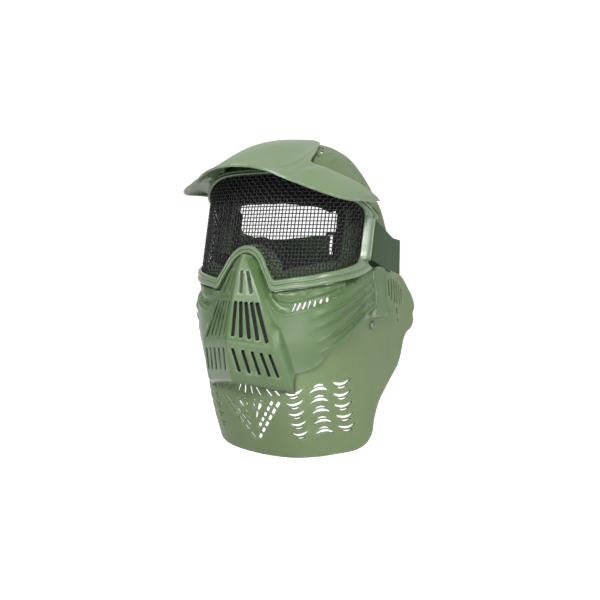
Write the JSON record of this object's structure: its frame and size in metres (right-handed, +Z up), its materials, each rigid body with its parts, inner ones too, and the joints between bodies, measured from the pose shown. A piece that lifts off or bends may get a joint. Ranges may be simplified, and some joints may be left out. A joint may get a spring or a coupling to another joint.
{
  "type": "tactical full face mask",
  "caption": "Full face mask with a goggle frame, woven wire lens, peak, head guard, slotted nose and mouth shell, pierced neck guard and head strap.",
  "frame": {"origin": "middle of the head at the height of the nose bridge, the mount head_seat", "axes": "+Z up, -Y the way the mask looks, +X the wearer's left"},
  "size_m": [0.199, 0.2408, 0.3143],
  "materials": {
    "shell_plastic": "semi-gloss moulded green plastic",
    "soft_plastic": "matte olive green soft moulding",
    "lens_wire": "black coated woven wire",
    "foam": "black open foam",
    "webbing": "dark green elastic webbing",
    "slider_plastic": "black moulded plastic",
    "rivet": "grey green painted rivet"
  },
  "bodies": {
    "root": {"goggle_frame": "shell_plastic", "mesh_lens": "lens_wire", "foam_gasket": "foam", "visor": "shell_plastic", "head_guard": "soft_plastic", "face_shell": "shell_plastic", "neck_guard": "soft_plastic", "strap_left": "webbing", "strap_right": "webbing", "strap_slider": "slider_plastic", "rivet_left": "rivet", "rivet_right": "rivet"}
  },
  "joints": []
}
